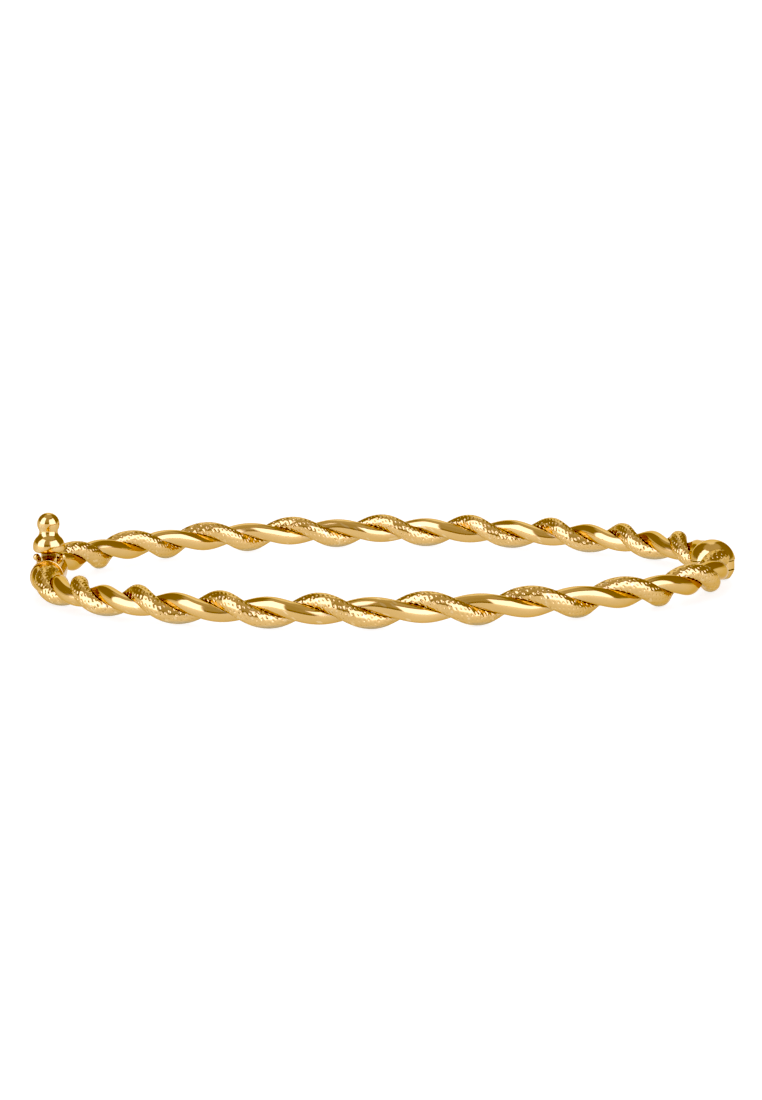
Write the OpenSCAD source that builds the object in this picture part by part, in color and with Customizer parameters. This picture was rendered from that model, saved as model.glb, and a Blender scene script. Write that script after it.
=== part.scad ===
// Hinged bangle of two twisted gold tubes, one polished and one textured.
// It lies on its side on the ground. Its front half faces -Y, the hinge is at +X and the clasp at -X.

/* [Oval] */
// Centre line of the rope, from the middle to the front and to the back
half_depth = 28.5; // [25:0.5:33]
// From the origin to the centre line at the hinge
hinge_reach = 30.75; // [28:0.05:36]
// From the origin to the centre line at the clasp
clasp_reach = 31.45; // [28:0.05:36]
// X of the line where the oval is deepest
deepest_x = -1.4; // [-2:0.05:2]

/* [Twist] */
// Radius of the textured tube
textured_r = 0.85; // [0.7:0.01:1]
// Centre of the textured tube, from the rope's centre line
textured_offset = 0.75; // [0.65:0.01:0.9]
// Radius of the polished tube
polished_r = 0.8; // [0.65:0.01:0.95]
// Centre of the polished tube, from the rope's centre line
polished_offset = 0.4; // [0.3:0.01:0.6]
// Gap between the flattened sides of the two tubes
tube_gap = 0.04; // [0.02:0.01:0.1]
// Length of one full turn at the front half's clasp end, middle and hinge end
front_clasp_pitch = 8.4; // [7:0.1:14]
front_middle_pitch = 9.15; // [7:0.05:14]
front_hinge_pitch = 10.9; // [7:0.1:14]
// Length of one full turn at the back half's hinge end, middle and clasp end
back_hinge_pitch = 8.3; // [7:0.1:14]
back_middle_pitch = 8.9; // [7:0.05:14]
back_clasp_pitch = 9.7; // [7:0.1:14]
// Direction of the textured tube in the middle of the front half: 0 is outward, 90 is up
front_turn = 237; // [0:1:359]
// Direction of the textured tube in the middle of the back half
back_turn = 346; // [0:1:359]
// Gap between a tube's end and the fitting that it butts against
end_gap = 0.05; // [0.03:0.01:0.15]

/* [Hinge] */
// How far the hinge axis lies inside the rope's centre line
hinge_inset = 0.4; // [0.2:0.05:0.8]
// Radius of the ball that covers the hinge
bulb_r = 2.15; // [2:0.05:2.5]
// Height of the ball's flat underside, below the rope's centre line
bulb_base = 1.45; // [1.3:0.05:1.55]
// Top of the middle knuckle, above the rope's centre line
knuckle_top = 0.25; // [0.1:0.05:0.4]
// Bottom of the middle knuckle, below the rope's centre line
knuckle_drop = 0.55; // [0.4:0.05:0.7]
// Depth of the middle knuckle's wall below the ball's surface
knuckle_inset = 0.1; // [0.1:0.05:0.3]
// Radius of the hinge pin
pin_r = 0.5; // [0.4:0.05:0.6]
// Radial clearance of the pin in the middle knuckle
pin_clearance = 0.03; // [0.02:0.01:0.06]
// Radial clearance of the pin in the ball, where it is held
pin_seat = 0.02; // [0.01:0.01:0.04]
// Clearance above, below and around the middle knuckle
knuckle_gap = 0.05; // [0.04:0.01:0.1]
// How far the middle knuckle's slot reaches past the hinge axis, to let the neck swing
slot_reach = 2.2; // [0.3:0.1:2.4]
// Width of the neck that carries the middle knuckle
neck_w = 1.4; // [1.2:0.1:2]
// Radius of the back half's sleeve
sleeve_r = 1.3; // [1.15:0.05:1.4]
// Radius of the front half's collar
collar_r = 0.9; // [0.9:0.05:1.55]
// Thickness of the front half's collar
collar_t = 0.2; // [0.2:0.05:0.5]
// Gap between the collar and the ball
collar_gap = 0.1; // [0.1:0.05:0.3]
// Length of the back half's sleeve past the ball
sleeve_l = 4.25; // [3.5:0.25:5]

/* [Clasp] */
// How far the clasp's centre line lies inside the oval
clasp_inset = 0.55; // [0:0.05:0.8]
// Y of the box's mouth
mouth_y = 1.2; // [0.8:0.1:1.6]
// Length of the box
box_l = 4.4; // [4.2:0.1:5.5]
// Solid end of the box, behind its cavity
box_end_t = 0.45; // [0.35:0.05:0.7]
// Thinnest part of the box's wall
box_wall = 0.3; // [0.15:0.01:0.35]
// Width of the tongue
tongue_w = 1.6; // [1.4:0.1:1.8]
// Thickness of the tongue
tongue_t = 0.35; // [0.3:0.05:0.45]
// Underside of the tongue, below the rope's centre line
tongue_drop = 0.5; // [0.45:0.05:0.6]
// Clearance around the tongue and the leaf in the box
slide_gap = 0.15; // [0.12:0.01:0.2]
// Gap between the tongue's tip and the end of the cavity
tip_gap = 0.4; // [0.3:0.05:0.6]
// Length of the tongue's round cap
cap_l = 1.35; // [1.1:0.05:1.8]
// Gap between the box's mouth and the cap
mouth_gap = 0.06; // [0.04:0.01:0.1]
// Width of the notch in the top of the box
notch_w = 1.7; // [1.3:0.1:1.7]
// Radius of the two beads beside the notch
bead_r = 0.33; // [0.25:0.01:0.36]
// Each bead's centre, to the side of the clasp's centre line
bead_side = 1.2; // [0.9:0.01:1.25]
// Each bead's centre, above the rope's centre line
bead_rise = 1.33; // [1:0.01:1.4]

/* [Thumb catch] */
// Thickness of the spring leaf
leaf_t = 0.25; // [0.2:0.01:0.3]
// Slope of the leaf at rest
leaf_slope = 6; // [5.5:0.5:7]
// Gap between the leaf's rounded tip and the tongue
leaf_gap = 0.05; // [0.03:0.01:0.1]
// Leaf past the stem
leaf_lip = 0.3; // [0.1:0.05:0.35]
// Angle that the catch is pressed through
press_angle = 3; // [3:0.5:5]
// Width of the stem, side to side
stem_w = 1.45; // [0.6:0.05:1.45]
// Half the stem's length along the box
stem_half = 0.4; // [0.3:0.05:0.45]
// From the box's mouth back to the stem's middle
stem_back = 0.9; // [0.8:0.05:1.1]
// Room left between the pressed catch and the cap
skirt_gap = 0.1; // [0.08:0.01:0.2]
// Radius of the catch's skirt
skirt_r = 1.47; // [1.3:0.01:1.5]
// Height of the skirt's widest part, above its bottom
skirt_h = 0.6; // [0.45:0.01:0.9]
// Rounding under the skirt's rim
skirt_round = 0.4; // [0.1:0.01:0.4]
// Radius of the skirt's domed upper side, seen from the side
dome_r = 1.1; // [0.9:0.05:1.3]
// Radius of the hollow curve between the dome and the neck
hollow_r = 0.65; // [0.5:0.05:1]
// Radius of the neck
neck_r = 0.85; // [0.7:0.01:0.9]
// Radius of the ball on top
knob_r = 1.04; // [0.95:0.01:1.15]
// From the top of the hollow curve to the ball's centre
knob_rise = 0.69; // [0.6:0.01:1]

/* [Hidden] */
$fn = 48;

// Rings along each half, and segments around each tube's round side
RINGS = 150;
TEXTURED_SEGMENTS = 12;
POLISHED_SEGMENTS = 10;
// Length that a cut runs past the face it cuts, and size of the block that trims a fitting's end
CUT = 1;
CUTTER = 8;

// The rope rests on its textured tube, so its centre line is this high
rope_z = textured_offset + textured_r;
hinge_semi = hinge_reach - deepest_x;
clasp_semi = clasp_reach + deepest_x;
front_pitches = [front_clasp_pitch, front_middle_pitch, front_hinge_pitch];
back_pitches = [back_hinge_pitch, back_middle_pitch, back_clasp_pitch];
// The flat faces between the two tubes lie where their round sides would cross
contact = (pow(textured_offset, 2) - pow(textured_r, 2) - pow(polished_offset, 2) + pow(polished_r, 2))
          / (2 * (textured_offset + polished_offset));

// Hinge
hinge_x = hinge_reach - hinge_inset;
knuckle_r = bulb_r - knuckle_inset;
slot_h = knuckle_drop + knuckle_top + 2 * knuckle_gap;
// The pin ends inside the ball, halfway between the knuckle and the ball's top
pin_top = (knuckle_top + bulb_r) / 2;
collar_y = bulb_r + collar_gap + collar_t;
sleeve_y = bulb_r + sleeve_l;
// The sleeve bends with the oval, whose end at the hinge has this radius
bend_r = pow(half_depth, 2) / hinge_semi;

// Clasp
clasp_x = clasp_inset - clasp_reach;
box_y = mouth_y - box_l;
cap_y = mouth_y + mouth_gap;
cavity_y = box_y + box_end_t;
tip_y = cavity_y + tip_gap;
cavity_w = tongue_w + 2 * slide_gap;
tongue_top = tongue_t - tongue_drop;
cavity_base = -tongue_drop - slide_gap;
// The leaf turns about its rounded tip
leaf_tip_z = tongue_top + leaf_gap + leaf_t / 2;
stem_y = mouth_y - stem_back;
leaf_l = stem_y + stem_half + leaf_lip - tip_y;
stem_z = leaf_tip_z + (stem_y - tip_y) * tan(leaf_slope);
leaf_end_z = leaf_tip_z + leaf_l * tan(leaf_slope) + leaf_t / 2;
cavity_top = leaf_end_z + 2 * slide_gap;
fitting_r = norm([cavity_w / 2, max(cavity_top, -cavity_base)]) + box_wall;
// Pressing drops the far edge of the skirt by its distance from the tip
skirt_drop = (stem_y + skirt_r - tip_y) * sin(press_angle);
skirt_z = fitting_r + skirt_gap + skirt_drop;
// The dome's centre, and the hollow curve's, where the two curves touch and the hollow one meets the neck
dome_x = skirt_r - dome_r;
dome_z = skirt_z + skirt_h;
hollow_x = neck_r + hollow_r;
hollow_z = dome_z + sqrt(pow(dome_r + hollow_r, 2) - pow(hollow_x - dome_x, 2));
touch_share = dome_r / (dome_r + hollow_r);
touch_x = dome_x + (hollow_x - dome_x) * touch_share;
touch_z = dome_z + (hollow_z - dome_z) * touch_share;
knob_z = hollow_z + knob_rise;

// Where each half's rings begin and end around the oval
function angle_at(y) = asin(y / half_depth);
front_from = 180 - angle_at(box_y - end_gap);
front_to = 360 - angle_at(collar_y + end_gap);
back_from = angle_at(sleeve_y + end_gap);
back_to = 180 - angle_at(cap_y + cap_l + end_gap);

function oval_semi(t) = cos(t) > 0 ? hinge_semi : clasp_semi;
function oval_point(t) = [deepest_x + oval_semi(t) * cos(t), half_depth * sin(t)];
function oval_outward(t) = let (v = [half_depth * cos(t), oval_semi(t) * sin(t)]) v / norm(v);
function outward_angle(t) = atan2(oval_outward(t).y, oval_outward(t).x);

// Angle that the rope has turned through, from the middle of a half to the place u, which runs from -1 to 1.
// The number of turns in a length is a parabola through its values at the two ends and the middle.
function turned(u, length, pitches) =
    let (first = 1 / pitches[0], middle = 1 / pitches[1], last = 1 / pitches[2],
         slope = (last - first) / 2, bend = (last + first) / 2 - middle)
    360 * length / 2 * (middle * u + slope * u * u / 2 + bend * u * u * u / 3);

// Rope length from the first ring to each ring
function run_lengths(points) = [for (i = 0, run = 0; i < len(points);
    run = run + (i + 1 < len(points) ? norm(points[i + 1] - points[i]) : 0), i = i + 1) run];

// A tube's section across the rope: an arc closed by a flat.
// The first number runs along the tube's own direction and the second one across it.
function tube_section(offset, r, flat, segments, pitch) =
    let (half_arc = acos((flat - offset) / r), lean = norm([1, 2 * PI * offset / pitch]))
    [for (i = [0:segments]) let (a = half_arc * (2 * i / segments - 1))
        [offset + r * cos(a), lean * r * sin(a)]];

// One ring: the section turned about the rope's centre line and stood across the rope
function ring(t, turn, section) = let (p = oval_point(t), n = oval_outward(t))
    [for (s = section) let (out = s.x * cos(turn) - s.y * sin(turn), up = s.x * sin(turn) + s.y * cos(turn))
        [p.x + n.x * out, p.y + n.y * out, rope_z + up]];

function flatten(lists) = [for (list = lists) each list];

// A tube of one half. The turn is the tube's direction in the middle of the half.
module twisted_tube(from, to, turn, pitches, section) {
    stations = [for (i = [0:RINGS - 1]) from + (to - from) * i / (RINGS - 1)];
    runs = run_lengths([for (t = stations) oval_point(t)]);
    length = runs[RINGS - 1];
    sides = len(section);
    last = (RINGS - 1) * sides;
    walls = [for (i = [0:RINGS - 2], j = [0:sides - 1])
        let (a = i * sides + j, b = i * sides + (j + 1) % sides) each [[a, a + sides, b], [b, a + sides, b + sides]]];
    ends = [for (j = [1:sides - 2]) each [[0, j, j + 1], [last, last + j + 1, last + j]]];
    polyhedron(
        points = flatten([for (i = [0:RINGS - 1])
            ring(stations[i], turn - turned(2 * runs[i] / length - 1, length, pitches), section)]),
        faces = concat(walls, ends));
}

module textured_tube(from, to, turn, pitches) {
    twisted_tube(from, to, turn, pitches,
        tube_section(textured_offset, textured_r, contact + tube_gap / 2, TEXTURED_SEGMENTS, pitches[1]));
}

module polished_tube(from, to, turn, pitches) {
    twisted_tube(from, to, turn + 180, pitches,
        tube_section(polished_offset, polished_r, tube_gap / 2 - contact, POLISHED_SEGMENTS, pitches[1]));
}

module front_polished_tube() {
    color("gold") polished_tube(front_from, front_to, front_turn, front_pitches);
}

module front_textured_tube() {
    color("goldenrod") textured_tube(front_from, front_to, front_turn, front_pitches);
}

module back_polished_tube() {
    color("gold") polished_tube(back_from, back_to, back_turn, back_pitches);
}

module back_textured_tube() {
    color("goldenrod") textured_tube(back_from, back_to, back_turn, back_pitches);
}

// Places its children on the clasp's centre line
module at_clasp() {
    translate([clasp_x, 0, rope_z]) children();
}

// A cylinder along the clasp's centre line
module fitting_tube(y0, y1) {
    translate([0, y1, 0]) rotate([90, 0, 0]) cylinder(r = fitting_r, h = y1 - y0);
}

// Places its children at the oval's centre line, with X outward and Y along the rope
module across_rope(t) {
    translate([oval_point(t).x, oval_point(t).y, rope_z]) rotate(outward_angle(t)) children();
}

// All that lies on the rope's side of a tube's end, where it would run into a fitting
module rope_side(t, side) {
    across_rope(t) translate([0, side * (CUTTER / 2 - end_gap), 0]) cube(CUTTER, center = true);
}

module slab(w, y0, y1, z0, z1) {
    translate([-w / 2, y0, z0]) cube([w, y1 - y0, z1 - z0]);
}

// The front half's end: a round box with a notch in its top and a bead on each side of the notch
module clasp_box() {
    color("gold") {
        difference() {
            at_clasp() fitting_tube(box_y - CUT, mouth_y);
            at_clasp() slab(cavity_w, cavity_y, mouth_y + CUT, cavity_base, cavity_top);
            at_clasp() slab(notch_w, stem_y - stem_half - slide_gap, mouth_y + CUT, 0, fitting_r + CUT);
            rope_side(front_from, 1);
        }
        for (side = [-1, 1])
            at_clasp() translate([side * bead_side, mouth_y - bead_r, bead_rise]) sphere(bead_r);
    }
}

// The back half's end: a round cap with a flat tongue that slides into the box
module clasp_tongue() {
    color("gold") {
        difference() {
            at_clasp() fitting_tube(cap_y, cap_y + cap_l + CUT);
            rope_side(back_to, -1);
        }
        at_clasp() slab(tongue_w, tip_y - leaf_t / 2, cap_y + cap_l / 2, -tongue_drop, tongue_top);
    }
}

// The spring leaf, seen from the side: a sloping strip with a round tip
module leaf_profile() {
    translate([tip_y, leaf_tip_z]) {
        circle(leaf_t / 2);
        rotate(leaf_slope) translate([0, -leaf_t / 2]) square([leaf_l, leaf_t]);
    }
}

// The skirt's rim and its domed upper side, as a turned profile
module skirt_profile() {
    translate([0, skirt_z]) square([skirt_r - skirt_round, skirt_h]);
    translate([0, skirt_z + skirt_round]) square([skirt_r, skirt_h - skirt_round]);
    translate([skirt_r - skirt_round, skirt_z + skirt_round]) circle(skirt_round);
    intersection() {
        translate([dome_x, dome_z]) circle(dome_r);
        translate([0, dome_z]) square([skirt_r, touch_z - dome_z]);
    }
}

// The hollow curve from the dome up to the neck, and the neck, as a turned profile
module neck_profile() {
    difference() {
        translate([0, dome_z]) square([touch_x, knob_z - dome_z]);
        translate([hollow_x, hollow_z]) circle(hollow_r);
        translate([neck_r, hollow_z]) square([hollow_r, knob_z - hollow_z + CUT]);
    }
}

// The knob, its stem and the leaf that springs it, which turn together about the leaf's tip
module thumb_catch() {
    color("gold") at_clasp() {
        rotate([90, 0, 90]) translate([0, 0, -tongue_w / 2]) linear_extrude(tongue_w) leaf_profile();
        slab(stem_w, stem_y - stem_half, stem_y + stem_half, stem_z, skirt_z + skirt_h / 2);
        translate([0, stem_y, 0]) {
            rotate_extrude() {
                skirt_profile();
                neck_profile();
            }
            translate([0, 0, knob_z]) sphere(knob_r);
        }
    }
}

// Places its children on the hinge axis
module at_hinge() {
    translate([hinge_x, 0, rope_z]) children();
}

// The front half's end: a collar across the rope, a neck and the middle knuckle with its bore
module hinge_knuckle() {
    color("gold") {
        difference() {
            at_hinge() {
                translate([0, 0, -knuckle_drop]) cylinder(r = knuckle_r, h = knuckle_drop + knuckle_top);
                slab(neck_w, -collar_y + collar_t / 2, 0, -knuckle_drop, knuckle_top);
            }
            at_hinge() translate([0, 0, -bulb_r]) cylinder(r = pin_r + pin_clearance, h = 2 * bulb_r);
        }
        across_rope(-angle_at(collar_y)) rotate([-90, 0, 0]) cylinder(r = collar_r, h = collar_t);
    }
}

// The back half's end: a ball with a slot for the knuckle, and a sleeve that bends with the oval
module hinge_bulb() {
    color("gold") difference() {
        union() {
            at_hinge() difference() {
                sphere(bulb_r);
                slab(2 * (bulb_r + CUT), -bulb_r - CUT, bulb_r + CUT, -bulb_r - CUT, -bulb_base);
            }
            translate([hinge_reach - bend_r, 0, rope_z]) rotate_extrude(angle = asin(sleeve_y / bend_r))
                translate([bend_r, 0]) circle(sleeve_r);
        }
        at_hinge() {
            translate([0, 0, -knuckle_drop - knuckle_gap]) {
                cylinder(r = knuckle_r + knuckle_gap, h = slot_h);
                slab(2 * (bulb_r + CUT), -bulb_r - CUT, slot_reach, 0, slot_h);
            }
            translate([0, 0, -bulb_r]) cylinder(r = pin_r + pin_seat, h = bulb_r + pin_top + pin_seat);
        }
    }
}

module hinge_pin() {
    color("darkgoldenrod") at_hinge()
        translate([0, 0, -bulb_base]) cylinder(r = pin_r, h = bulb_base + pin_top);
}

front_polished_tube();
front_textured_tube();
back_polished_tube();
back_textured_tube();
clasp_box();
clasp_tongue();
thumb_catch();
hinge_knuckle();
hinge_bulb();
hinge_pin();
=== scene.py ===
"""The looks of the hinged twisted bangle: its strands, its fittings, the studio and the camera.

Sizes are in millimetres, as in the part's source, unless a comment says otherwise. MM turns them into metres
where a mesh is made.
"""
import math

import bmesh
import bpy
import numpy as np
from mathutils import Matrix, Vector

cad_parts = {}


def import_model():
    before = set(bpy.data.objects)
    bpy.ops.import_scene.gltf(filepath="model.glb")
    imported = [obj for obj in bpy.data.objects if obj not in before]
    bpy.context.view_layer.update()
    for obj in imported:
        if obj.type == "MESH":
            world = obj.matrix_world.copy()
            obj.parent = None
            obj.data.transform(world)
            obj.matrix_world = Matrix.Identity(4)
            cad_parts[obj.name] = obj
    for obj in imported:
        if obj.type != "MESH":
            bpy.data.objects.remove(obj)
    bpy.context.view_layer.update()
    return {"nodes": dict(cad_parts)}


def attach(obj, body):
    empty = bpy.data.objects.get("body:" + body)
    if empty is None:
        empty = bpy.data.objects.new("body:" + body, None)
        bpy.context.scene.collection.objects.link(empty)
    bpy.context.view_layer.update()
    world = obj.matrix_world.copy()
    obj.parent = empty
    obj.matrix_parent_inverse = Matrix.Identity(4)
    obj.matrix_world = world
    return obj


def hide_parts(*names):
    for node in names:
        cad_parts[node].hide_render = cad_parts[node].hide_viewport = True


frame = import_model()
MM = 0.001

# The oval that the rope follows, as in the part's source
HALF_DEPTH = 28.5
HINGE_SEMI = 32.15
CLASP_SEMI = 30.05
DEEPEST_X = -1.4
ROPE_Z = 1.6

# The two tubes' sections. CONTACT is where the two round surfaces would cross, from the rope's middle.
TEXTURED_R = 0.85
TEXTURED_OFFSET = 0.75
POLISHED_R = 0.8
POLISHED_OFFSET = 0.4
TUBE_GAP = 0.04
CONTACT = (TEXTURED_OFFSET**2 - TEXTURED_R**2 - POLISHED_OFFSET**2 + POLISHED_R**2) / (
    2 * (TEXTURED_OFFSET + POLISHED_OFFSET)
)

# The ends of the two halves: how far each tube's end lies from the X axis
CLASP_END_FRONT = 3.25
HINGE_END_FRONT = 2.5
HINGE_END_BACK = 6.45
CLASP_END_BACK = 2.66

# The strands are built this much inside the solids' surface, because the solids are faceted
STRAND_INSET = 0.02

# Steps in which the length of a half's centre line is measured
ROPE_STEPS = 20000

# Rings along a polished strand, and points round each
POLISHED_RINGS = 600
POLISHED_SIDES = 48

# Dimples in the textured tubes: rows round the tube, the step along a row, each dimple's radius and depth,
# and the power by which it eases toward its rim
DIMPLE_ROWS = 14
DIMPLE_STEP = 0.63
DIMPLE_R = 0.115
DIMPLE_DEPTH = 0.047
RIM_POWER = 0.9

# Edges on each side of a dimple's diamond, and the rings in it as shares of the dimple's radius
EDGE_STEPS = 3
RING_SHARES = (1.12, 0.85, 0.45)

# Spare dimples beyond a tube's ends, and how many radians they go on past the edge of its flat side
SPARE_COLUMNS = 4
SPARE_ARC = 0.25


def end_angle(y):
    """The angle round the oval, from +X, at which the rope crosses the line at y on the hinge's side."""
    return math.asin(y / HALF_DEPTH)


# Each half's ends round the oval, the textured tube's direction in its middle, and the length of one full
# turn at its first end, its middle and its last end
HALVES = {
    "front": {
        "from": math.pi + end_angle(CLASP_END_FRONT),
        "to": 2 * math.pi - end_angle(HINGE_END_FRONT),
        "turn": math.radians(237),
        "pitches": (8.4, 9.15, 10.9),
    },
    "back": {
        "from": end_angle(HINGE_END_BACK),
        "to": math.pi - end_angle(CLASP_END_BACK),
        "turn": math.radians(346),
        "pitches": (8.3, 8.9, 9.7),
    },
}

# Each tube's centre and flat side, from the rope's middle, its radius, and which way from the middle it lies
TUBES = {
    "textured": {
        "offset": TEXTURED_OFFSET,
        "flat": CONTACT + TUBE_GAP / 2,
        "r": TEXTURED_R,
        "turned": 0,
    },
    "polished": {
        "offset": POLISHED_OFFSET,
        "flat": TUBE_GAP / 2 - CONTACT,
        "r": POLISHED_R,
        "turned": math.pi,
    },
}

# Each fitting's body and how coarse its casting is, and the passes that ease a casting's edges
FITTINGS = {
    "clasp_box": ("front_half", 0.035),
    "hinge_knuckle": ("front_half", 0.04),
    "clasp_tongue": ("back_half", 0.045),
    "hinge_bulb": ("back_half", 0.05),
    "thumb_catch": ("thumb_catch", 0.04),
}
CASTING_PASSES = 6

# Gold where it is deep and light in colour, painted shade for narrow gaps, gold on rubbed edges, and gold
# seen at a grazing angle
GOLD_DEEP = (0.7, 0.475, 0.2, 1)
GOLD_LIGHT = (0.74, 0.51, 0.225, 1)
GOLD_GAP_SHADE = (0.58, 0.49, 0.33, 1)
GOLD_WORN = (0.8, 0.6, 0.32, 1)
GOLD_GRAZE = (0.8, 0.66, 0.42, 1)

# A gap is narrow if its other side is this near. Its colour starts to turn to painted shade, and its gloss to
# dull, at the first openness, and both are full at the second, where it adds this much to the roughness.
GAP_REACH = 0.5
GAP_OPENNESS = (0.8, 0.35)
GAP_DULLNESS = 0.25
GAP_SAMPLES = 4

# Pointiness at which an edge starts to be rubbed, and at which it is fully rubbed
RUBBED_EDGE = (0.53, 0.6)

# Roughness of both golds, and the share by which it varies
POLISH = 0.1
MOTTLE = 0.25

# Patches of each kind of variation for each metre, and the height and strength of the hairlines
TINT_SCALE = 260
GLOSS_SCALE = 900
HAIR_SCALE = 3500
HAIR_HEIGHT = 0.02
HAIR_STRENGTH = 0.05

# The floor: its radius in metres, its grey and how brightly it glows
FLOOR_RADIUS = 20
FLOOR_GREY = (0.25, 0.25, 0.25, 1)
FLOOR_GLOW = 0.82

# What the bangle reflects: rectangles of light and dark, in degrees. Azimuth 0 is the camera's side and grows
# to the right. Each has its left, right, bottom and top edge, the width of its soft edge, and its colour.
STUDIO = {
    "left_wall": ((-400, -84, -20, 12), 10, (1.0, 0.96, 0.9)),
    "ceiling": ((-400, 400, 58, 100), 12, (0.72, 0.66, 0.6)),
    "front_wall": ((-40, 25, 18, 70), 12, (0.64, 0.58, 0.52)),
    "left_softbox": ((-87, -34, -4, 61), 6, (2.5, 2.6, 3.6)),
    "right_softbox": ((15, 84, -8, 50), 6, (2.4, 2.5, 3.5)),
    "backdrop_left": ((-400, -163, -20, 72), 6, (1.25, 1.25, 1.25)),
    "backdrop_right": ((163, 400, -20, 72), 6, (1.25, 1.25, 1.25)),
    "backdrop_foot": ((100, 160, -20, 6), 8, (1.0, 0.96, 0.92)),
}
STUDIO_DARK = (0.43, 0.37, 0.34)

# The photo's camera, worked out from the rope's crests in the photo: its distance from the oval's middle, its
# angles in degrees, and in pixels its focal length, the image, and where the oval's middle lies in it
CAMERA_DISTANCE = 389.8
CAMERA_ELEVATION = 7.437
CAMERA_ROLL = 0.859
FOCAL_PIXELS = 4220
IMAGE_WIDTH = 762
IMAGE_HEIGHT = 1100
MIDDLE_PIXEL = (368.7, 567.6)

# The level of light that the picture shows as black
BLACK = 0.08


def oval(t):
    """Points of the rope's centre line at angles t round the oval, and the directions outward there."""
    semi = np.where(np.cos(t) > 0, HINGE_SEMI, CLASP_SEMI)
    point = np.stack([DEEPEST_X + semi * np.cos(t), HALF_DEPTH * np.sin(t)], -1)
    outward = np.stack([HALF_DEPTH * np.cos(t), semi * np.sin(t)], -1)
    return point, outward / np.linalg.norm(outward, axis=-1, keepdims=True)


def rope_of(half):
    """Angles round the oval, close together, and the rope's length up to each."""
    t = np.linspace(half["from"], half["to"], ROPE_STEPS + 1)
    steps = np.linalg.norm(np.diff(oval(t)[0], axis=0), axis=1)
    return t, np.concatenate([[0], np.cumsum(steps)])


def turned(run, length, pitches):
    """The angle that the rope turns through from the middle of a half to a place on it."""
    u = 2 * run / length - 1
    first, middle, last = (1 / pitch for pitch in pitches)
    slope = (last - first) / 2
    bend = (last + first) / 2 - middle
    return math.pi * length * (middle * u + slope * u**2 / 2 + bend * u**3 / 3)


def lean_of(half, tube):
    """How much longer a tube's section is across the rope than across the tube."""
    return math.hypot(1, 2 * math.pi * tube["offset"] / half["pitches"][1])


def half_arc_of(tube):
    """The angle round a tube, from the side that faces away from the other tube to its flat side's edge."""
    return math.acos((tube["flat"] - tube["offset"]) / tube["r"])


def tube_points(half, tube, run, arc, sink):
    """Points on a tube's surface, in metres. run is the length along the rope, arc the angle round the tube
    from the side that faces away from the rope's middle, and sink the depth under its round surface."""
    angles, lengths = rope_of(half)
    point, outward = oval(np.interp(run, lengths, angles))
    turn = half["turn"] + tube["turned"] - turned(run, lengths[-1], half["pitches"])
    r = tube["r"] - STRAND_INSET - sink
    away = np.maximum(tube["offset"] + r * np.cos(arc), tube["flat"])
    across = lean_of(half, tube) * r * np.sin(arc)
    out = away * np.cos(turn) - across * np.sin(turn)
    up = away * np.sin(turn) + across * np.cos(turn)
    level = point + outward * out[..., None]
    return np.concatenate([level, ROPE_Z + up[..., None]], -1) * MM


def new_object(name, mesh):
    piece = bpy.data.objects.new(name, mesh)
    bpy.context.scene.collection.objects.link(piece)
    return piece


def smooth(mesh, sharp_angle=45):
    """Smooth shading, but for edges sharper than the angle."""
    mesh.shade_smooth()
    mesh.set_sharp_from_angle(angle=math.radians(sharp_angle))


def wear_material(solid, material):
    solid.data.materials.clear()
    solid.data.materials.append(material)


def dress(piece, body, slot, material, *nodes):
    wear_material(piece, material)
    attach(piece, body)
    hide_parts(*nodes)


def polished_strand(name, half):
    """A plain tube: rings along the rope, each of them an arc closed by a flat."""
    tube = TUBES["polished"]
    rings, sides = POLISHED_RINGS, POLISHED_SIDES
    along = np.linspace(0, rope_of(half)[1][-1], rings)
    round_it = np.linspace(-half_arc_of(tube), half_arc_of(tube), sides)
    run, arc = np.meshgrid(along, round_it, indexing="ij")
    points = tube_points(half, tube, run, arc, 0).reshape(-1, 3)
    first = np.arange(rings - 1)[:, None] * sides
    j = np.arange(sides)[None, :]
    k = (j + 1) % sides
    quads = np.stack([first + j, first + k, first + sides + k, first + sides + j], -1).reshape(-1, 4)
    ends = [list(range(sides - 1, -1, -1)), list(range((rings - 1) * sides, rings * sides))]
    mesh = bpy.data.meshes.new(name)
    mesh.from_pydata(points, [], quads.tolist() + ends)
    mesh.validate()
    smooth(mesh)
    return new_object(name, mesh)


def dimple_sink(share):
    """Depth under the surface at a share of the dimple's radius: a shallow bowl with an eased rim."""
    return DIMPLE_DEPTH * np.clip(1 - share**2, 0, 1) ** RIM_POWER


def diamond_outline():
    """The corners and edge points of one diamond, as shares of its half diagonals, in order round it."""
    corners = np.array([[1, 0], [0, 1], [-1, 0], [0, -1], [1, 0]], float)
    parts = np.arange(EDGE_STEPS)[:, None] / EDGE_STEPS
    return np.concatenate([corners[i] + (corners[i + 1] - corners[i]) * parts for i in range(4)])


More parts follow.
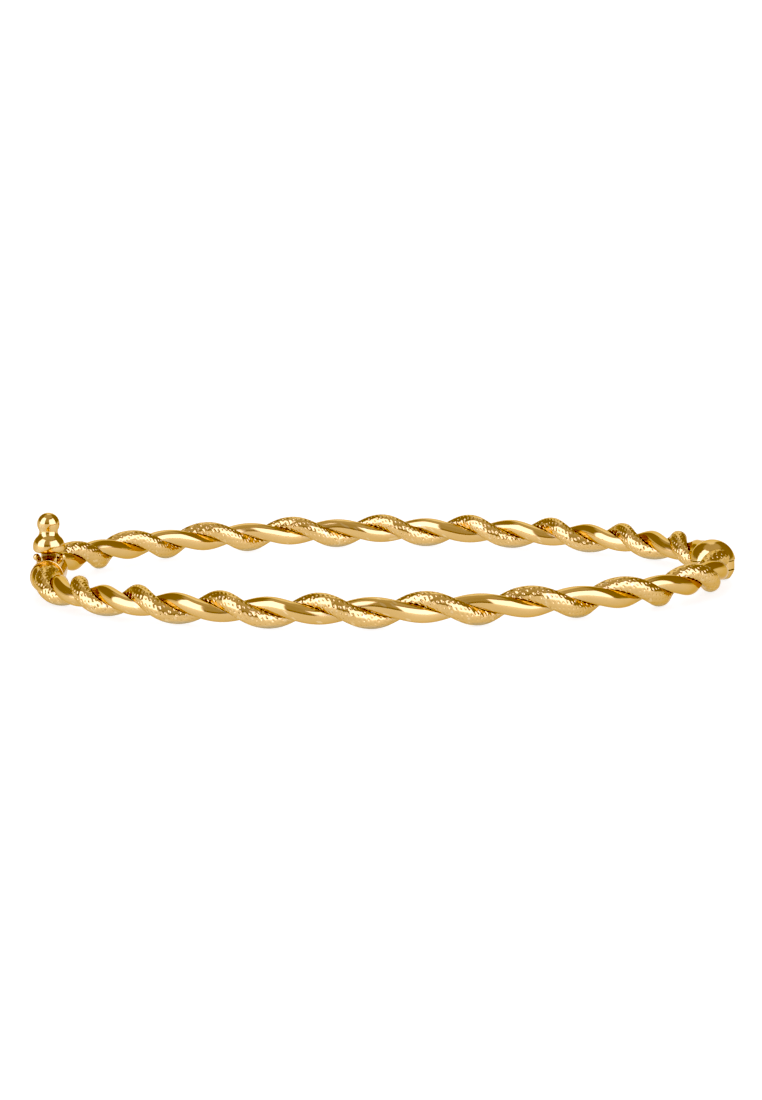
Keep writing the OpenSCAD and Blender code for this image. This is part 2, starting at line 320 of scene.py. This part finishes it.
def dimpled_sheet(columns, is_plain):
    """Diamonds that tile a tube unrolled flat, with a dimple in the middle of each that isn't plain, as
    (points, faces). A point has a place along the tube in steps, a place round it in rows, and a depth.
    A diamond is one step long and two rows wide."""
    outline = diamond_outline()
    sides = len(outline)
    half_step = DIMPLE_STEP / 2
    row_width = 2 * math.pi * TEXTURED_R / DIMPLE_ROWS
    reach = np.hypot(outline[:, 0] * half_step, outline[:, 1] * row_width)
    points, faces, known = [], [], {}

    def shared(u, w):
        key = (round(u * 2 * EDGE_STEPS), round(w * 2 * EDGE_STEPS) % (2 * EDGE_STEPS * DIMPLE_ROWS))
        if key not in known:
            known[key] = len(points)
            points.append((u, w % DIMPLE_ROWS, 0))
        return known[key]

    for row in range(DIMPLE_ROWS):
        for column in range(columns):
            u, w = column + 0.5 * (row % 2), row
            outer = [shared(u + 0.5 * x, w + y) for x, y in outline]
            if is_plain(u, w):
                faces.append(tuple(outer))
                continue
            for share in RING_SHARES:
                ring = list(range(len(points), len(points) + sides))
                scale = DIMPLE_R * share / reach
                depth = float(dimple_sink(share))
                points.extend((u + 0.5 * x * s, w + y * s, depth) for (x, y), s in zip(outline, scale))
                faces.extend(
                    (outer[i], outer[(i + 1) % sides], ring[(i + 1) % sides], ring[i]) for i in range(sides)
                )
                outer = ring
            points.append((u, w, DIMPLE_DEPTH))
            faces.extend((outer[i], outer[(i + 1) % sides], len(points) - 1) for i in range(sides))
    return np.array(points, float), faces


def cut_end(bm, x, outer):
    """Cuts off what lies beyond x, on the side that outer gives, and closes the end with a flat face."""
    cut = bmesh.ops.bisect_plane(
        bm,
        geom=bm.verts[:] + bm.edges[:] + bm.faces[:],
        plane_co=(x, 0, 0),
        plane_no=(outer, 0, 0),
        clear_outer=True,
    )
    rim = [e for e in cut["geom_cut"] if isinstance(e, bmesh.types.BMEdge)]
    bmesh.ops.edgeloop_fill(bm, edges=rim)


def textured_strand(name, half):
    """A dimpled tube. The rows of dimples run along it, side by side with the seams to the other tube. It is
    built straight, cut to length, and then bent round the rope."""
    tube = TUBES["textured"]
    lean = lean_of(half, tube)
    length = rope_of(half)[1][-1]
    columns = int(length * lean / DIMPLE_STEP) + 2 * SPARE_COLUMNS
    least_cosine = math.cos(half_arc_of(tube) + SPARE_ARC)

    def place(u, w):
        """Length along the rope and arc from the side that faces away from the other tube."""
        return (u - SPARE_COLUMNS) * DIMPLE_STEP / lean, w * 2 * math.pi / DIMPLE_ROWS

    def is_plain(u, w):
        return math.cos(place(u, w)[1]) < least_cosine

    points, faces = dimpled_sheet(columns, is_plain)
    along, arc = place(points[:, 0], points[:, 1])
    run = along + tube["r"] * math.sqrt(1 - 1 / lean**2) * np.sin(arc)

    mesh = bpy.data.meshes.new(name)
    mesh.from_pydata(np.stack([run, np.cos(arc), np.sin(arc)], -1), [], faces)
    bm = bmesh.new()
    bm.from_mesh(mesh)
    sink = bm.verts.layers.float.new("sink")
    for vert, depth in zip(bm.verts, points[:, 2]):
        vert[sink] = depth
    cut_end(bm, 0, -1)
    cut_end(bm, length, 1)
    bm.verts.ensure_lookup_table()
    co = np.array([v.co for v in bm.verts])
    depths = np.array([v[sink] for v in bm.verts])
    bent = tube_points(half, tube, np.clip(co[:, 0], 0, length), np.arctan2(co[:, 2], co[:, 1]), depths)
    for vert, point in zip(bm.verts, bent):
        vert.co = point
    bmesh.ops.recalc_face_normals(bm, faces=bm.faces[:])
    bm.to_mesh(mesh)
    bm.free()
    smooth(mesh, 60)
    return new_object(name, mesh)


def softened(name, node, voxel):
    """A CAD solid with its edges rounded as a polished casting's are."""
    piece = new_object(name, frame["nodes"][node].data.copy())
    remesh = piece.modifiers.new("remesh", "REMESH")
    remesh.mode = "VOXEL"
    remesh.voxel_size = voxel * MM
    relax = piece.modifiers.new("relax", "SMOOTH")
    relax.factor = 0.5
    relax.iterations = CASTING_PASSES
    bpy.context.view_layer.update()
    graph = bpy.context.evaluated_depsgraph_get()
    casting = bpy.data.meshes.new_from_object(piece.evaluated_get(graph))
    casting.name = name
    casting.shade_smooth()
    piece.modifiers.clear()
    piece.data = casting
    return piece


def feed(tree, socket, value):
    """Gives a node's input another node's output or a plain value."""
    if isinstance(value, bpy.types.NodeSocket):
        tree.links.new(value, socket)
    else:
        socket.default_value = value


def mixed(tree, factor, first, second):
    """One colour where the factor is 0, and another where it is 1."""
    node = tree.nodes.new("ShaderNodeMix")
    node.data_type = "RGBA"
    feed(tree, node.inputs["Factor"], factor)
    feed(tree, node.inputs["A"], first)
    feed(tree, node.inputs["B"], second)
    return node.outputs["Result"]


def spread(tree, value, from_low, from_high, to_low=0, to_high=1, kind="LINEAR"):
    """A value moved from one range to another and kept within it."""
    node = tree.nodes.new("ShaderNodeMapRange")
    node.interpolation_type = kind
    node.inputs["From Min"].default_value = from_low
    node.inputs["From Max"].default_value = from_high
    node.inputs["To Min"].default_value = to_low
    node.inputs["To Max"].default_value = to_high
    feed(tree, node.inputs["Value"], value)
    return node.outputs["Result"]


def calculated(tree, operation, *values):
    """The result of a sum on values or other nodes' outputs."""
    node = tree.nodes.new("ShaderNodeMath")
    node.operation = operation
    for socket, value in zip(node.inputs, values):
        feed(tree, socket, value)
    return node.outputs["Value"]


def gold(name):
    """Polished gold. Its colour and gloss vary a little from place to place, narrow gaps get painted shade in
    their colour and a duller gloss, edges are rubbed pale, and fine hairlines from wear run all over it."""
    material = bpy.data.materials.new(name)
    material.use_nodes = True
    tree = material.node_tree
    shader = tree.nodes["Principled BSDF"]
    shader.inputs["Metallic"].default_value = 1
    shader.inputs["Specular Tint"].default_value = GOLD_GRAZE
    place = tree.nodes.new("ShaderNodeTexCoord")

    def noise(scale, detail):
        node = tree.nodes.new("ShaderNodeTexNoise")
        node.inputs["Scale"].default_value = scale
        node.inputs["Detail"].default_value = detail
        tree.links.new(place.outputs["Object"], node.inputs["Vector"])
        return node.outputs["Fac"]

    gap = tree.nodes.new("ShaderNodeAmbientOcclusion")
    gap.samples = GAP_SAMPLES
    gap.inputs["Distance"].default_value = GAP_REACH * MM
    # Where a gap is narrow, this mask paints shade into the colour and dulls the gloss
    gap_shade_and_dulling = spread(tree, gap.outputs["AO"], *GAP_OPENNESS)
    shape = tree.nodes.new("ShaderNodeNewGeometry")
    wear = spread(tree, shape.outputs["Pointiness"], *RUBBED_EDGE)

    colour = mixed(tree, spread(tree, noise(TINT_SCALE, 3), 0.3, 0.7), GOLD_DEEP, GOLD_LIGHT)
    # Painted shade: narrow gaps turn to a paler, greyer gold
    colour = mixed(tree, gap_shade_and_dulling, colour, GOLD_GAP_SHADE)
    colour = mixed(tree, wear, colour, GOLD_WORN)
    tree.links.new(colour, shader.inputs["Base Color"])

    gloss = spread(tree, noise(GLOSS_SCALE, 4), 0.35, 0.65, POLISH * (1 - MOTTLE), POLISH * (1 + MOTTLE))
    rough = calculated(tree, "ADD", gloss, spread(tree, gap_shade_and_dulling, 0, 1, 0, GAP_DULLNESS))
    tree.links.new(rough, shader.inputs["Roughness"])

    hair = tree.nodes.new("ShaderNodeBump")
    hair.inputs["Strength"].default_value = HAIR_STRENGTH
    hair.inputs["Distance"].default_value = HAIR_HEIGHT * MM
    tree.links.new(noise(HAIR_SCALE, 2), hair.inputs["Height"])
    tree.links.new(hair.outputs["Normal"], shader.inputs["Normal"])
    return material


def floor():
    """White satin paper. It glows, as paper under strong studio light does beside a camera's exposure."""
    bm = bmesh.new()
    bmesh.ops.create_circle(bm, cap_ends=True, segments=96, radius=FLOOR_RADIUS)
    mesh = bpy.data.meshes.new("floor")
    bm.to_mesh(mesh)
    bm.free()
    piece = new_object("floor", mesh)
    material = bpy.data.materials.new("floor_white")
    material.use_nodes = True
    shader = material.node_tree.nodes["Principled BSDF"]
    shader.inputs["Base Color"].default_value = FLOOR_GREY
    shader.inputs["Roughness"].default_value = 0.5
    shader.inputs["Emission Color"].default_value = (1, 1, 1, 1)
    shader.inputs["Emission Strength"].default_value = FLOOR_GLOW
    mesh.materials.append(material)


def world():
    """The studio as seen from the bangle, by direction alone."""
    sky = bpy.data.worlds.new("studio")
    bpy.context.scene.world = sky
    sky.use_nodes = True
    tree = sky.node_tree

    def rise(value, at, width):
        """0 below the edge, 1 above it, with a soft step between."""
        return spread(tree, value, at - width / 2, at + width / 2, kind="SMOOTHSTEP")

    def between(value, low, high, width):
        """1 from the low edge to the high one, and 0 elsewhere."""
        return calculated(tree, "SUBTRACT", rise(value, low, width), rise(value, high, width))

    place = tree.nodes.new("ShaderNodeTexCoord")
    split = tree.nodes.new("ShaderNodeSeparateXYZ")
    tree.links.new(place.outputs["Generated"], split.inputs["Vector"])
    x, y, z = split.outputs
    to_front = calculated(tree, "MULTIPLY", y, -1)
    azimuth = calculated(tree, "DEGREES", calculated(tree, "ARCTAN2", x, to_front))
    elevation = calculated(tree, "DEGREES", calculated(tree, "ARCSINE", z))

    colour = (*STUDIO_DARK, 1)
    for (left, right, low, high), edge, radiance in STUDIO.values():
        inside = between(azimuth, left, right, edge)
        level = between(elevation, low, high, edge)
        colour = mixed(tree, calculated(tree, "MULTIPLY", inside, level), colour, (*radiance, 1))
    tree.links.new(colour, tree.nodes["Background"].inputs["Color"])


def camera():
    """The photo's camera. It stands straight in front of the oval's deepest place."""
    elevation, roll = math.radians(CAMERA_ELEVATION), math.radians(CAMERA_ROLL)
    middle = Vector((DEEPEST_X, 0, ROPE_Z))
    eye_place = middle + CAMERA_DISTANCE * Vector((0, -math.cos(elevation), math.sin(elevation)))
    ahead = (middle - eye_place).normalized()
    right = Vector((1, 0, 0))
    up = right.cross(ahead)
    right, up = (
        right * math.cos(roll) - up * math.sin(roll),
        up * math.cos(roll) + right * math.sin(roll),
    )
    off_right = IMAGE_WIDTH / 2 - MIDDLE_PIXEL[0]
    off_up = MIDDLE_PIXEL[1] - IMAGE_HEIGHT / 2
    ahead = (ahead * FOCAL_PIXELS + right * off_right + up * off_up).normalized()
    right = (right - ahead * right.dot(ahead)).normalized()
    up = right.cross(ahead)
    data = bpy.data.cameras.new("camera")
    data.sensor_fit = "HORIZONTAL"
    data.sensor_width = 36
    data.lens = FOCAL_PIXELS / IMAGE_WIDTH * data.sensor_width
    data.clip_start = 0.01
    data.clip_end = 50
    eye = new_object("camera", data)
    turn = Matrix((right, up, -ahead)).transposed().to_4x4()
    eye.matrix_world = Matrix.Translation(eye_place * MM) @ turn
    bpy.context.scene.camera = eye


def contrast():
    """The photo's contrast: its darkest gold is darker than the light alone makes it."""
    view = bpy.context.scene.view_settings
    view.view_transform = "Standard"
    view.look = "None"
    view.use_curve_mapping = True
    view.curve_mapping.black_level = (BLACK, BLACK, BLACK)
    view.curve_mapping.white_level = (1 + BLACK, 1 + BLACK, 1 + BLACK)
    view.curve_mapping.update()


polished_gold = gold("polished_gold")
textured_gold = gold("textured_gold")

for side, half in HALVES.items():
    body = side + "_half"
    dress(polished_strand(side + "_polished_strand", half), body, "polished_gold", polished_gold,
          side + "_polished_tube")
    dress(textured_strand(side + "_textured_strand", half), body, "textured_gold", textured_gold,
          side + "_textured_tube")

for node, (body, grain) in FITTINGS.items():
    dress(softened(node + "_casting", node, grain), body, "polished_gold", polished_gold, node)
wear_material(frame["nodes"]["hinge_pin"], polished_gold)

floor()
world()
camera()
contrast()
